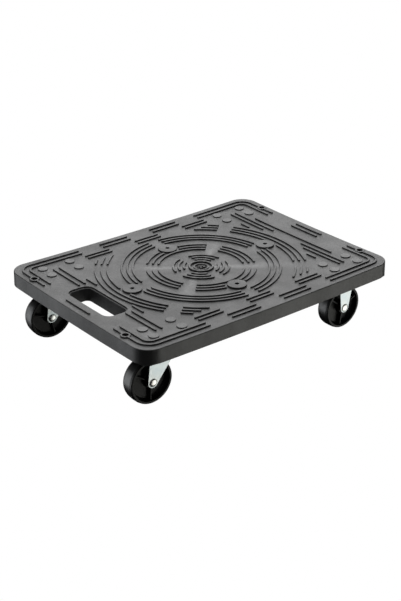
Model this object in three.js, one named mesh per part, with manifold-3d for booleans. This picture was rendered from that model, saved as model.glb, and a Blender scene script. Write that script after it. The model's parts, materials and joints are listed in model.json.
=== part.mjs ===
// Furniture dolly: a ribbed plastic deck with a hand hole, on two swivel casters at the
// hand-hole end and two fixed casters at the far end.
// Millimetres, +Z up. The origin is on the floor under the middle of the deck, and +X points
// from the hand-hole end to the far end. "Left" and "right" are as seen when pushing along +X.

import * as THREE from 'three';
import { mergeVertices } from 'three/addons/utils/BufferGeometryUtils.js';
import Module from 'manifold-3d';

const wasm = await Module();
wasm.setup();

// ---------------------------------------------------------------------------------------
// Driving dimensions
// ---------------------------------------------------------------------------------------

const deck = {
  length: 450,
  width: 330,
  cornerRadius: 27,
  edgeRound: 1.2,
  top: 100.7,         // height of the plain surface above the floor
  skin: 3.2,
  skirtBottom: 79.4,
  skirtWall: 3.4,
  ribBottom: 82,      // lower edge of the stiffening ribs and of the screw bosses
  ribWall: 2.4,
};

const handHole = {
  centreX: -180.9,
  length: 35,
  width: 95.5,
  cornerRadius: 10,
  wall: 3,
  ledge: 2.2,
  ledgeDepth: 2.2,
};

const pattern = {
  height: 2,          // how far the anti-slip ribs stand above the plain surface
  discHeight: 2.6,
  ribWidth: 3.4,
  sink: 0.8,          // how far each rib reaches into the skin, so that it joins
  outerX: 213,        // centre lines of the two ribs that run round the border
  outerY: 153.2,
  innerX: 203,
  innerY: 143.4,
  outerCorner: 20,
  innerCorner: 11,
  discRadius: 14,
  discHoleRadius: 2.6,
  discX: 122.8,
  discY: 79.4,
  discGap: 2.6,
};

const cornerHole = { x: 213, y: 108.7, radius: 4.2, ringRadius: 7.2, bossRadius: 7.2 };
const hub = { ringOuter: 18.6, ringInner: 15.4, dishRadius: 9, dishDepth: 1.2, holeRadius: 3 };

const caster = {
  x: 162,             // caster centres, from the middle of the deck
  y: 119.5,
  screwX: 23,         // screw places, from the caster's centre
  screwY: 12,
  plateLength: 62,
  plateWidth: 40,
  plateCorner: 6,
  plateThickness: 2,
  sheet: 1.8,         // thickness of the pressed fork and bracket
  legOuter: 13.05,    // outer face of a leg, from the wheel's middle plane
  trail: 24.4,        // how far the axle lies behind the swivel axis
  lead: 1.1,          // how far the fixed axle lies ahead of its plate's middle
  tipRadius: 7.3,
};
const swivelAngle = { left: -6, right: -3 };    // degrees that each fork is turned at rest
// Degrees that each wheel has rolled from the place where one of its ribs points straight down.
const wheelRoll = { swivel_left: 12, swivel_right: -2, fixed_left: 0, fixed_right: -7 };

const wheel = { radius: 33, width: 20.5, hubRadius: 9, hubWidth: 19.6, boreRadius: 4.65, web: 6 };
const axle = { radius: 3, headRadius: 4.8, headHeight: 2.4, holeRadius: 3.2 };
const dimple = { radius: 5.6, depth: 1 };
const bush = { outer: 4.5, inner: 3.2, length: 19.9 };
const swivel = {
  yokeTop: 71,
  dishRadius: 19,
  dishRise: 1.5,
  pressRadius: 17,    // the plate's pressed middle, which carries the upper ball race
  pressDepth: 3,
  pinRadius: 4,
  pinHead: 6.5,
  upperBall: 2.05,
  upperPitch: 12.6,
  upperCount: 10,
  lowerBall: 1.4,
  lowerPitch: 7.1,
  lowerCount: 8,
  cupRadius: 10.2,
  cupThickness: 1.4,
};
const screw = {
  shaftRadius: 2.1,
  holeRadius: 2.3,
  plateHole: 2.6,
  headRadius: 4,
  headHeight: 2.4,
  length: 14,
};
const screwBoss = { radius: 5.4, padRadius: 7.2, padHeight: 1 };

// How many facets stand for each kind of round shape.
const facets = {
  screw: 8,
  pad: 9,
  hole: 10,
  rivet: 12,
  pin: 14,
  boss: 16,
  dish: 18,
  disc: 20,
  hub: 24,
  wheel: 28,
};

const gap = 0.3;
const axleHeight = wheel.radius;
const skinUnderside = deck.top - deck.skin;
const plateUnderside = deck.ribBottom - caster.plateThickness;
const legInner = caster.legOuter - caster.sheet;
const yokeUnderside = swivel.yokeTop - caster.sheet;
const overcut = 1;

// ---------------------------------------------------------------------------------------
// Solids and meshes
// ---------------------------------------------------------------------------------------

// A closed three.js geometry as a solid that can be cut and joined.
function solidFrom(geometry) {
  const shell = new THREE.BufferGeometry().copy(geometry);
  shell.deleteAttribute('normal');
  shell.deleteAttribute('uv');
  const merged = mergeVertices(shell, 1e-4);
  return new wasm.Manifold(new wasm.Mesh({
    numProp: 3,
    vertProperties: new Float32Array(merged.attributes.position.array),
    triVerts: new Uint32Array(merged.index.array),
  }));
}

function geometryFrom(solid) {
  const mesh = solid.getMesh();
  const geometry = new THREE.BufferGeometry();
  geometry.setAttribute('position', new THREE.BufferAttribute(mesh.vertProperties, 3));
  geometry.setIndex(new THREE.BufferAttribute(mesh.triVerts, 1));
  geometry.computeVertexNormals();
  return geometry;
}

function joined(solids) {
  return solids.reduce((sum, next) => sum.add(next));
}

function part(name, solid, material) {
  const mesh = new THREE.Mesh(geometryFrom(solid), material);
  mesh.name = name;
  return mesh;
}

// A shape in the XY plane, standing from one height to another. Each arc in the shape gets
// twice curveSegments facets.
function prism(shape, low, high, curveSegments = 2) {
  const settings = { depth: high - low, bevelEnabled: false, curveSegments };
  return solidFrom(new THREE.ExtrudeGeometry(shape, settings).translate(0, 0, low));
}

function box(lowX, highX, lowY, highY, lowZ, highZ) {
  const geometry = new THREE.BoxGeometry(highX - lowX, highY - lowY, highZ - lowZ);
  return solidFrom(geometry.translate((lowX + highX) / 2, (lowY + highY) / 2, (lowZ + highZ) / 2));
}

function upright(radius, low, high, x = 0, y = 0, sides = facets.boss) {
  const geometry = new THREE.CylinderGeometry(radius, radius, high - low, sides);
  return solidFrom(geometry.rotateX(Math.PI / 2).translate(x, y, (low + high) / 2));
}

// A solid turned about the Z axis from [radius, height] pairs.
function turned(profile, sides) {
  const points = profile.map(([radius, height]) => new THREE.Vector2(radius, height));
  return solidFrom(new THREE.LatheGeometry(points, sides).rotateX(Math.PI / 2));
}

// The half of a profile below its middle plane, and its mirror image above that plane.
function mirroredProfile(lowerHalf) {
  return [...lowerHalf, ...lowerHalf.map(([radius, height]) => [radius, -height]).reverse()];
}

function roundedRectangle(length, width, radius) {
  const x = length / 2;
  const y = width / 2;
  const shape = new THREE.Shape();
  shape.moveTo(-x + radius, -y);
  shape.lineTo(x - radius, -y);
  shape.absarc(x - radius, -y + radius, radius, -Math.PI / 2, 0);
  shape.lineTo(x, y - radius);
  shape.absarc(x - radius, y - radius, radius, 0, Math.PI / 2);
  shape.lineTo(-x + radius, y);
  shape.absarc(-x + radius, y - radius, radius, Math.PI / 2, Math.PI);
  shape.lineTo(-x, -y + radius);
  shape.absarc(-x + radius, -y + radius, radius, Math.PI, 1.5 * Math.PI);
  return shape;
}

const mirrorPairs = [[1, 1], [-1, 1], [-1, -1], [1, -1]];

// ---------------------------------------------------------------------------------------
// Anti-slip pattern on the deck
// ---------------------------------------------------------------------------------------

function raised(shape, curveSegments) {
  return prism(shape, deck.top - pattern.sink, deck.top + pattern.height, curveSegments);
}

function ribAlongX(fromX, toX, y) {
  const half = pattern.ribWidth / 2;
  return box(fromX, toX, y - half, y + half, deck.top - pattern.sink, deck.top + pattern.height);
}

function ribAlongY(x, fromY, toY) {
  const half = pattern.ribWidth / 2;
  return box(x - half, x + half, fromY, toY, deck.top - pattern.sink, deck.top + pattern.height);
}

function arcRib(radius, fromDegrees, toDegrees) {
  const from = THREE.MathUtils.degToRad(fromDegrees);
  const to = THREE.MathUtils.degToRad(toDegrees);
  const half = pattern.ribWidth / 2;
  const shape = new THREE.Shape();
  shape.absarc(0, 0, radius + half, from, to, false);
  shape.absarc(0, 0, radius - half, to, from, true);
  const degreesPerPair = 32;    // of facets
  return raised(shape, Math.ceil((toDegrees - fromDegrees) / degreesPerPair));
}

// One rib that follows the border round a corner, from the long side to the short side.
function cornerRib(lineX, lineY, cornerRadius, startX, startY, signX, signY) {
  const half = pattern.ribWidth / 2;
  const centreX = lineX - cornerRadius;
  const centreY = lineY - cornerRadius;
  const shape = new THREE.Shape();
  shape.moveTo(startX, lineY + half);
  shape.lineTo(startX, lineY - half);
  shape.absarc(centreX, centreY, cornerRadius - half, Math.PI / 2, 0, true);
  shape.lineTo(lineX - half, startY);
  shape.lineTo(lineX + half, startY);
  shape.absarc(centreX, centreY, cornerRadius + half, 0, Math.PI / 2, false);
  return raised(shape, 1).scale([signX, signY, 1]);
}

function borderRibs() {
  const cornerStartX = 108.7;
  const cornerStartY = 82.6;
  const middlePair = [20.7, 71.7];
  const ribs = [];
  for (const [signX, signY] of mirrorPairs) {
    const { outerX, outerY, innerX, innerY, outerCorner, innerCorner } = pattern;
    ribs.push(cornerRib(outerX, outerY, outerCorner, cornerStartX, cornerStartY, signX, signY));
    ribs.push(cornerRib(innerX, innerY, innerCorner, cornerStartX, cornerStartY, signX, signY));
    const [near, far] = middlePair.map((x) => x * signX).sort((a, b) => a - b);
    ribs.push(ribAlongX(near, far, outerY * signY));
    ribs.push(ribAlongX(near, far, innerY * signY));
  }
  return ribs;
}

// The second row of short ribs along each long side, staggered against the border's ribs.
function secondRowRibs() {
  const spans = [[-112, -68.5], [-21.7, 21.7], [68.5, 112]];
  const rows = [132, 123.9];
  const ribs = [];
  for (const [from, to] of spans) {
    for (const y of rows) ribs.push(ribAlongX(from, to, y), ribAlongX(from, to, -y));
  }
  return ribs;
}

// Ribs across the deck near its two short ends: [x, nearest y, farthest y], on both sides.
function endRibs() {
  const farEnd = [[159.4, 44.6, 121.7], [167.8, 30.4, 121.7], [147.8, 64.1, 83.7]];
  const handHoleEnd = [[-173.3, 54.4, 121.7], [-163.5, 54.4, 121.7], [-153.3, 41.3, 67.4]];
  const across = [[178.3, 84.8], [203, 28.3], [213, 28.3], [-212.8, 28.3]];
  const ribs = [];
  for (const [x, near, far] of [...farEnd, ...handHoleEnd]) {
    ribs.push(ribAlongY(x, near, far), ribAlongY(x, -far, -near));
  }
  for (const [x, reach] of across) ribs.push(ribAlongY(x, -reach, reach));
  return ribs;
}

// Concentric arcs round the middle of the deck, in four groups of three.
function ringRibs() {
  const inner = { radii: [25.2, 32.8, 40.4], halfGap: 7.6 };
  const second = { radii: [62.2, 70.6, 78.7], endArc: 27.5, sideArc: 45 };
  const third = { radii: [98.7, 106.5, 114.6], gapAcrossY: 8.7, gapAcrossX: 10.8 };
  const outer = { radii: [135.4, 143.9, 152.6], endArc: 32, stubFrom: 40.5, stubReachY: 112 };
  const angleOf = (halfWidth, radius) => THREE.MathUtils.radToDeg(Math.asin(halfWidth / radius));
  // Angle on either side of a disc's own direction within which an arc would meet the disc.
  const discAngle = (radius, discPlace) => {
    const reach = pattern.discRadius + pattern.discGap;
    const cosine = (radius ** 2 + discPlace ** 2 - reach ** 2) / (2 * radius * discPlace);
    return cosine < 1 ? THREE.MathUtils.radToDeg(Math.acos(cosine)) : 0;
  };
  const ribs = [];
  const quarters = [0, 90, 180, 270];
  for (const radius of inner.radii) {
    const trim = angleOf(inner.halfGap, radius);
    for (const start of quarters) ribs.push(arcRib(radius, start + trim, start + 90 - trim));
  }
  for (const radius of second.radii) {
    for (const middle of [0, 180]) {
      ribs.push(arcRib(radius, middle - second.endArc, middle + second.endArc));
    }
    const clear = discAngle(radius, pattern.discY);
    for (const middle of [90, 270]) {
      if (clear === 0) {
        ribs.push(arcRib(radius, middle - second.sideArc, middle + second.sideArc));
      } else {
        ribs.push(arcRib(radius, middle - second.sideArc, middle - clear));
        ribs.push(arcRib(radius, middle + clear, middle + second.sideArc));
      }
    }
  }
  for (const radius of third.radii) {
    const trimX = Math.max(angleOf(third.gapAcrossX, radius), discAngle(radius, pattern.discX));
    const trimY = angleOf(third.gapAcrossY, radius);
    for (const start of [0, 180]) {
      ribs.push(arcRib(radius, start + trimX, start + 90 - trimY));
      ribs.push(arcRib(radius, start + 90 + trimY, start + 180 - trimX));
    }
  }
  for (const radius of outer.radii) {
    const clear = discAngle(radius, pattern.discX);
    for (const middle of [0, 180]) {
      if (clear === 0) {
        ribs.push(arcRib(radius, middle - outer.endArc, middle + outer.endArc));
      } else {
        ribs.push(arcRib(radius, middle - outer.endArc, middle - clear));
        ribs.push(arcRib(radius, middle + clear, middle + outer.endArc));
      }
    }
    const stubTo = angleOf(outer.stubReachY, radius);
    for (const [from, to] of [[outer.stubFrom, stubTo], [180 - stubTo, 180 - outer.stubFrom]]) {
      ribs.push(arcRib(radius, from, to), arcRib(radius, from + 180, to + 180));
    }
  }
  return ribs;
}

const discPlaces = [
  [pattern.discX, 0],
  [-pattern.discX, 0],
  [0, pattern.discY],
  [0, -pattern.discY],
];

function inEachCorner({ x, y }) {
  return mirrorPairs.map(([signX, signY]) => [x * signX, y * signY]);
}

function screwPlaces([centreX, centreY]) {
  return mirrorPairs.map(([signX, signY]) => [
    centreX + caster.screwX * signX,
    centreY + caster.screwY * signY,
  ]);
}

const allScrewPlaces = inEachCorner(caster).flatMap(screwPlaces);
const cornerHolePlaces = inEachCorner(cornerHole);

// ---------------------------------------------------------------------------------------
// Deck
// ---------------------------------------------------------------------------------------

function deckShell() {
  const { length, width, cornerRadius, edgeRound, top, skirtBottom, skirtWall } = deck;
  const shrunk = (inset) => (
    roundedRectangle(length - 2 * inset, width - 2 * inset, cornerRadius - inset));
  const wallDepth = top - skirtBottom;
  const block = new THREE.ExtrudeGeometry(shrunk(edgeRound), {
    depth: wallDepth,
    bevelThickness: edgeRound,
    bevelSize: edgeRound,
    bevelSegments: 1,
    curveSegments: 3,
  }).translate(0, 0, top - edgeRound - wallDepth);
  const belowSkirt = box(-length, length, -width, width, skirtBottom - 2 * wallDepth, skirtBottom);
  return solidFrom(block)
    .subtract(belowSkirt)
    .subtract(prism(shrunk(skirtWall), skirtBottom - overcut, skinUnderside));
}

function stiffeningRibs() {
  const acrossX = [0, 69.5, caster.x - caster.screwX, caster.x + caster.screwX];
  const acrossY = [0, 54, caster.y - caster.screwY, caster.y + caster.screwY];
  const bothSides = (places) => [...new Set(places.flatMap((place) => [place, -place]))];
  const half = deck.ribWall / 2;
  const endX = deck.length / 2 - deck.skirtWall / 2;
  const endY = deck.width / 2 - deck.skirtWall / 2;
  const high = skinUnderside + deck.skin / 2;
  const low = deck.ribBottom;
  return joined([
    ...bothSides(acrossX).map((x) => box(x - half, x + half, -endY, endY, low, high)),
    ...bothSides(acrossY).map((y) => box(-endX, endX, y - half, y + half, low, high)),
  ]);
}

function handHoleShape(grow) {
  const { length, width, cornerRadius } = handHole;
  return roundedRectangle(length + 2 * grow, width + 2 * grow, cornerRadius + grow);
}

function deckBosses() {
  const high = skinUnderside + deck.skin / 2;
  const { sink, height, discHeight, discRadius } = pattern;
  const reach = screwBoss.radius;
  const bosses = allScrewPlaces.flatMap(([x, y]) => [
    box(x - reach, x + reach, y - reach, y + reach, deck.ribBottom, high),
    upright(screwBoss.padRadius, deck.top - sink, deck.top + screwBoss.padHeight, x, y, facets.pad),
  ]);
  for (const [x, y] of discPlaces) {
    bosses.push(upright(screwBoss.radius, deck.ribBottom, high, x, y, facets.screw));
    bosses.push(upright(discRadius, deck.top - sink, deck.top + discHeight, x, y, facets.disc));
  }
  for (const [x, y] of cornerHolePlaces) {
    bosses.push(upright(cornerHole.bossRadius, deck.skirtBottom, high, x, y, facets.hole));
    bosses.push(upright(cornerHole.ringRadius, deck.top - sink, deck.top + height, x, y, facets.rivet));
  }
  bosses.push(upright(hub.ringOuter, deck.top - sink, deck.top + height, 0, 0, facets.hub));
  bosses.push(upright(hub.ringOuter, deck.ribBottom, high));
  const holeWall = prism(handHoleShape(handHole.wall), deck.skirtBottom, high);
  bosses.push(holeWall.translate([handHole.centreX, 0, 0]));
  return joined(bosses);
}

function deckCuts() {
  const below = deck.skirtBottom - overcut;
  const above = deck.top + pattern.discHeight + overcut;
  const ledge = deck.top - handHole.ledgeDepth;
  const pilotTop = plateUnderside + screw.length + overcut;
  const cuts = [
    prism(handHoleShape(0), below, above).translate([handHole.centreX, 0, 0]),
    prism(handHoleShape(handHole.ledge), ledge, above).translate([handHole.centreX, 0, 0]),
    upright(hub.ringInner, deck.top, above, 0, 0, facets.hub),
    upright(hub.dishRadius, deck.top - hub.dishDepth, above),
    upright(hub.holeRadius, below, above, 0, 0, facets.hole),
  ];
  for (const [x, y] of allScrewPlaces) {
    cuts.push(upright(screw.holeRadius, below, pilotTop, x, y, facets.screw));
  }
  for (const [x, y] of discPlaces) {
    cuts.push(upright(pattern.discHoleRadius, below, above, x, y, facets.hole));
  }
  for (const [x, y] of cornerHolePlaces) {
    cuts.push(upright(cornerHole.radius, below, above, x, y, facets.hole));
  }
  return joined(cuts);
}

function deckSolid() {
  const antiSlip = [...borderRibs(), ...secondRowRibs(), ...endRibs(), ...ringRibs()];
  return deckShell()
    .add(stiffeningRibs())
    .add(deckBosses())
    .add(joined(antiSlip))
    .subtract(deckCuts());
}

// ---------------------------------------------------------------------------------------
// Pieces of the casters, each about its own centre line, at its real height
// ---------------------------------------------------------------------------------------

function screwSolid() {
  const { shaftRadius, headRadius, headHeight, length } = screw;
  const tip = 2;
  const crown = 0.9;
  return turned([
    [0, plateUnderside - headHeight],
    [headRadius, plateUnderside - headHeight + crown],
    [headRadius, plateUnderside],
    [shaftRadius, plateUnderside],
    [shaftRadius, plateUnderside + length - tip],
    [0, plateUnderside + length],
  ], facets.screw);
}

function wheelSolid(roll) {
  const { radius, width, hubRadius, hubWidth, boreRadius, web } = wheel;
  const face = width / 2;
  const treadHalf = 6.2;
  const rimShoulder = radius - 1.1;
  const rimInner = radius - 4.4;
  const rimRoot = radius - 6;
  const hubFace = hubWidth / 2;
  const profile = mirroredProfile([
    [boreRadius, -hubFace],
    [hubRadius, -hubFace],
    [hubRadius, -web / 2],
    [rimRoot, -web / 2],
    [rimInner, -face],
    [rimShoulder, -face],
    [radius, -treadHalf],
  ]);
  const body = turned([...profile, profile[0]], facets.wheel);
  const ribHalf = 1.2;
  const ribFace = face - 1.6;
  const rib = box(-ribHalf, ribHalf, hubRadius - 1, rimRoot + 1, -ribFace, ribFace);
  const ribs = [60, 180, 300].map((turn) => rib.rotate([0, 0, turn + roll]));
  return alongAxle(body.add(joined(ribs)));
}

// Lays a solid that was turned about the Z axis along the axle.
function alongAxle(solid) {
  return solid.rotate([90, 0, 0]).translate([0, 0, axleHeight]);
}

function axleSolid() {
  const { radius, headRadius, headHeight } = axle;
  const seat = caster.legOuter - dimple.depth;
  const headEdge = 0.5;
  return alongAxle(turned(mirroredProfile([
    [0, -seat - headHeight],
    [headRadius * 0.6, -seat - headHeight * 0.82],
    [headRadius, -seat - headEdge],
    [headRadius, -seat],
    [radius, -seat],
  ]), facets.rivet));
}

function bushSolid() {
  const half = bush.length / 2;
  const { outer, inner } = bush;
  const profile = mirroredProfile([[inner, -half], [outer, -half]]);
  return alongAxle(turned([...profile, profile[0]], facets.boss));
}

// Both legs of a fork from one outline in the XZ plane, with the dimples for the axle's heads.
function legPair(outline, axleX) {
  const upOutline = prism(outline, legInner, caster.legOuter, 3).rotate([90, 0, 0]);
  const { radius, depth } = dimple;
  const { legOuter } = caster;
  const about = [axleX, axleHeight, facets.hole];
  const bump = upright(radius, legInner - depth, legInner + overcut / 2, ...about);
  const seat = upright(radius - 0.4, legOuter - depth, legOuter + overcut, ...about);
  const hole = upright(axle.holeRadius, 0, legOuter + overcut, ...about);
  const near = upOutline
    .add(bump.rotate([90, 0, 0]))
    .subtract(seat.rotate([90, 0, 0]))
    .subtract(hole.rotate([90, 0, 0]));
  return [near, near.mirror([0, 1, 0])];
}

function plateOutline() {
  return roundedRectangle(caster.plateLength, caster.plateWidth, caster.plateCorner);
}

function plateScrewHoles() {
  return joined(screwPlaces([0, 0]).map(([x, y]) => (
    upright(screw.plateHole, plateUnderside - overcut, deck.ribBottom + overcut, x, y, facets.screw))));
}

// The swivel caster's plate: flat, with its round middle pressed down to carry the ball race.
function topPlateSolid() {
  const { pressRadius, pressDepth, pinRadius } = swivel;
  const { plateThickness } = caster;
  const high = deck.ribBottom;
  const low = plateUnderside - pressDepth;
  const slope = 1.5;
  const pressed = turned([
    [0, low],
    [pressRadius - slope, low],
    [pressRadius, plateUnderside],
    [pressRadius, high],
    [0, high],
  ], facets.dish);
  const hollow = turned([
    [0, low + plateThickness],
    [pressRadius - slope - plateThickness, low + plateThickness],
    [pressRadius - plateThickness, high],
    [pressRadius - plateThickness, high + overcut],
    [0, high + overcut],
  ], facets.dish);
  return prism(plateOutline(), plateUnderside, high, 1)
    .add(pressed)
    .subtract(hollow)
    .subtract(plateScrewHoles())
    .subtract(upright(pinRadius + gap, low - overcut, high, 0, 0, facets.pin));
}

function swivelForkSolid() {
  const { trail, tipRadius, sheet, legOuter } = caster;
  const { yokeTop, dishRadius, dishRise, pinRadius } = swivel;
  const axleX = -trail;
  const rearTop = axleX - 3.4;
  const frontTop = 14.2;
  const leg = new THREE.Shape();
  leg.moveTo(rearTop, yokeTop);
  leg.lineTo(axleX - tipRadius, axleHeight);
  leg.absarc(axleX, axleHeight, tipRadius, Math.PI, 2 * Math.PI - Math.PI / 4.6, false);
  leg.quadraticCurveTo(axleX + 16, axleHeight + 10, frontTop, yokeTop);
  const plan = new THREE.Shape();
  const meet = Math.asin(legOuter / dishRadius);
  plan.moveTo(rearTop, -legOuter);
  plan.absarc(0, 0, dishRadius, -meet, meet, false);
  plan.lineTo(rearTop, legOuter);
  const dish = turned([
    [0, yokeUnderside],
    [dishRadius, yokeUnderside],
    [dishRadius, yokeTop],
    [dishRadius - 2, yokeTop + dishRise],
    [0, yokeTop + dishRise],
  ], facets.dish);
  const dishHollow = turned([
    [0, yokeUnderside - overcut],
    [dishRadius - 3, yokeUnderside - overcut],
    [dishRadius - 4, yokeTop + dishRise - sheet],
    [0, yokeTop + dishRise - sheet],
  ], facets.dish);
  const above = yokeTop + dishRise + overcut;
  return prism(plan, yokeUnderside, yokeTop, 5)
    .add(joined(legPair(leg, axleX)))
    .add(dish)
    .subtract(dishHollow)
    .subtract(upright(pinRadius + gap, yokeUnderside - overcut, above, 0, 0, facets.pin));
}

// The fixed caster's bracket: one pressed sheet, its legs folded down from notches in the plate.
function fixedBracketSolid() {
  const { tipRadius, legOuter, plateWidth } = caster;
  const high = deck.ribBottom;
  const axleX = caster.lead;
  const rearTop = axleX - 13;
  const frontTop = axleX + 17.6;
  const leg = new THREE.Shape();
  leg.moveTo(rearTop, high);
  leg.lineTo(axleX - tipRadius, axleHeight);
  leg.absarc(axleX, axleHeight, tipRadius, Math.PI, 2 * Math.PI, false);
  leg.lineTo(frontTop, high);
  const notchFrom = rearTop - 0.6;
  const notchTo = frontTop + 0.6;
  const edge = plateWidth / 2 + overcut;
  const notch = box(notchFrom, notchTo, legOuter, edge, plateUnderside - overcut, high + overcut);
  return prism(plateOutline(), plateUnderside, high, 1)
    .subtract(notch)
    .subtract(notch.mirror([0, 1, 0]))
    .add(joined(legPair(leg, axleX)))
    .subtract(plateScrewHoles());
}

function kingpinSolid() {
  const { pinRadius, pinHead, pressDepth, cupThickness } = swivel;
  const headSeat = plateUnderside - pressDepth + caster.plateThickness;
  const cupSeat = lowerRaceHeight() - swivel.lowerBall - gap / 3 - cupThickness;
  const headHeight = 2;
  return turned([
    [0, cupSeat - headHeight],
    [pinHead - 1.6, cupSeat - headHeight],
    [pinHead, cupSeat],
    [pinRadius, cupSeat],
    [pinRadius, headSeat],
    [pinHead, headSeat],
    [pinHead - 1.2, headSeat + headHeight],
    [0, headSeat + headHeight],
  ], facets.pin);
}

// Height of the middle of the lower balls, which run under the yoke's dish.
function lowerRaceHeight() {
  return swivel.yokeTop + swivel.dishRise - caster.sheet - gap / 3 - swivel.lowerBall;
}

function upperRaceHeight() {
  const plateRace = plateUnderside - swivel.pressDepth;
  const yokeRace = swivel.yokeTop + swivel.dishRise;
  return (plateRace + yokeRace) / 2;
}

function raceCupSolid() {
  const { cupRadius, cupThickness, pinRadius, lowerBall } = swivel;
  const floor = lowerRaceHeight() - lowerBall - gap / 3;
  const lip = 1.2;
  return turned([
    [pinRadius + gap, floor - cupThickness],
    [cupRadius, floor - cupThickness],
    [cupRadius, floor + lip],
    [cupRadius - cupThickness, floor + lip],
    [cupRadius - cupThickness, floor],
    [pinRadius + gap, floor],
    [pinRadius + gap, floor - cupThickness],
  ], facets.boss);
}

// A ring of balls, held in a thin cage that makes it one piece.
function ballRingSolid(count, ballRadius, pitchRadius, height) {
  const cage = ballRadius * 0.3;
  const ring = turned([
    [pitchRadius - cage, height],
    [pitchRadius + cage, height - cage],
    [pitchRadius + cage, height + cage],
    [pitchRadius - cage, height],
  ], count);
  const balls = Array.from({ length: count }, (_, index) => {
    const angle = ((index + 0.5) / count) * 2 * Math.PI;
    const ball = new THREE.IcosahedronGeometry(ballRadius, 0);
    const reach = pitchRadius * Math.cos(Math.PI / count);
    return solidFrom(ball.translate(reach * Math.cos(angle), reach * Math.sin(angle), height));
  });
  return ring.add(joined(balls));
}

// ---------------------------------------------------------------------------------------
// Materials
// ---------------------------------------------------------------------------------------

function finish(color, roughness, metalness) {
  return new THREE.MeshStandardMaterial({ color, roughness, metalness });
}

const deckPlastic = finish(0x3c3d3c, 0.62, 0);
const wheelPlastic = finish(0x121212, 0.35, 0);
const zincSheet = finish(0xc4ced1, 0.34, 1);
const rivetSteel = finish(0xcfcfca, 0.28, 1);
const screwSteel = finish(0xb9bcba, 0.35, 1);
const bearingSteel = finish(0xa9a9a6, 0.22, 1);

// ---------------------------------------------------------------------------------------
// Assembly
// ---------------------------------------------------------------------------------------

const dolly = new THREE.Group();

dolly.add(part('deck', deckSolid(), deckPlastic));

function addScrews(name, centre) {
  const solid = screwSolid();
  screwPlaces(centre).forEach(([x, y], index) => {
    const mesh = part(`${name}_screw_${index + 1}`, solid, screwSteel);
    mesh.position.set(x, y, 0);
    dolly.add(mesh);
  });
}

// The pieces that a wheel turns on: the riveted axle, the bush round it and the wheel itself.
function wheelSet(name, axleX) {
  const pieces = [
    part(`${name}_axle`, axleSolid(), rivetSteel),
    part(`${name}_bush`, bushSolid(), bearingSteel),
    part(`${name}_wheel`, wheelSolid(wheelRoll[name]), wheelPlastic),
  ];
  for (const piece of pieces) piece.position.setX(axleX);
  return pieces;
}

function addSwivelCaster(side, signY) {
  const name = `swivel_${side}`;
  const centre = [-caster.x, caster.y * signY];
  const fixedPieces = new THREE.Group();
  fixedPieces.position.set(...centre, 0);
  fixedPieces.add(
    part(`${name}_top_plate`, topPlateSolid(), zincSheet),
    part(`${name}_kingpin`, kingpinSolid(), rivetSteel),
    part(`${name}_race_cup`, raceCupSolid(), zincSheet),
  );
  const turningPieces = new THREE.Group();
  turningPieces.position.set(...centre, 0);
  turningPieces.rotation.z = THREE.MathUtils.degToRad(swivelAngle[side]);
  const { upperBall, upperPitch, upperCount, lowerBall, lowerPitch, lowerCount } = swivel;
  const upperBalls = ballRingSolid(upperCount, upperBall, upperPitch, upperRaceHeight());
  const lowerBalls = ballRingSolid(lowerCount, lowerBall, lowerPitch, lowerRaceHeight());
  turningPieces.add(
    part(`${name}_fork`, swivelForkSolid(), zincSheet),
    part(`${name}_upper_balls`, upperBalls, bearingSteel),
    part(`${name}_lower_balls`, lowerBalls, bearingSteel),
    ...wheelSet(name, -caster.trail),
  );
  dolly.add(fixedPieces, turningPieces);
  addScrews(name, centre);
}

function addFixedCaster(side, signY) {
  const name = `fixed_${side}`;
  const centre = [caster.x, caster.y * signY];
  const pieces = new THREE.Group();
  pieces.position.set(...centre, 0);
  pieces.add(
    part(`${name}_bracket`, fixedBracketSolid(), zincSheet),
    ...wheelSet(name, caster.lead),
  );
  dolly.add(pieces);
  addScrews(name, centre);
}

addSwivelCaster('left', 1);
addSwivelCaster('right', -1);
addFixedCaster('left', 1);
addFixedCaster('right', -1);

export default dolly;
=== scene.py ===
"""Furniture dolly: the finished surface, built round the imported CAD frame.

Shapes are worked out in millimetres in the frame's own axes, and scaled to metres as each piece
is made. +X runs from the hand-hole end to the far end, and +Z is up.
"""
import json
import math

import bmesh
import bpy
from mathutils import Matrix, Vector


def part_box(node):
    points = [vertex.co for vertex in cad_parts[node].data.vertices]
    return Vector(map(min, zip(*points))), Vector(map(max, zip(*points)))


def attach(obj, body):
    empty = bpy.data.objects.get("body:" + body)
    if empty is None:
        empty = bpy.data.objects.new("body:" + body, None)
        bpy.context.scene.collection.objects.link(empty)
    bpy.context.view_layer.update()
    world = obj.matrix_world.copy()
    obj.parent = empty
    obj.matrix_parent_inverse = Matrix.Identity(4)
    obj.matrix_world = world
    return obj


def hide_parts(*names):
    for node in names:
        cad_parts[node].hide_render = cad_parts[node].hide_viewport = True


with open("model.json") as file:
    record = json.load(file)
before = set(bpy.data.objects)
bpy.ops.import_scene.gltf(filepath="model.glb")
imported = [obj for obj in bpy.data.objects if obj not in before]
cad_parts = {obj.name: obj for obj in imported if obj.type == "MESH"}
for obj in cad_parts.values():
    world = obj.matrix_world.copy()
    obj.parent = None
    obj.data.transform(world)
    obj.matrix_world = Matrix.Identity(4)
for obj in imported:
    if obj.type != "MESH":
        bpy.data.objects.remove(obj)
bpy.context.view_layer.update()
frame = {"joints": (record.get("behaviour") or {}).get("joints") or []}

MM = 0.001
SIGN_PAIRS = [(1, 1), (-1, 1), (-1, -1), (1, -1)]
SIDES = ("left", "right")
JOINTS = {joint["name"]: joint for joint in frame["joints"]}


def box_in_mm(node):
    low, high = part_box(node)
    return low / MM, high / MM


# ---------------------------------------------------------------------------------------
# Driving dimensions, in millimetres
# ---------------------------------------------------------------------------------------

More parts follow.
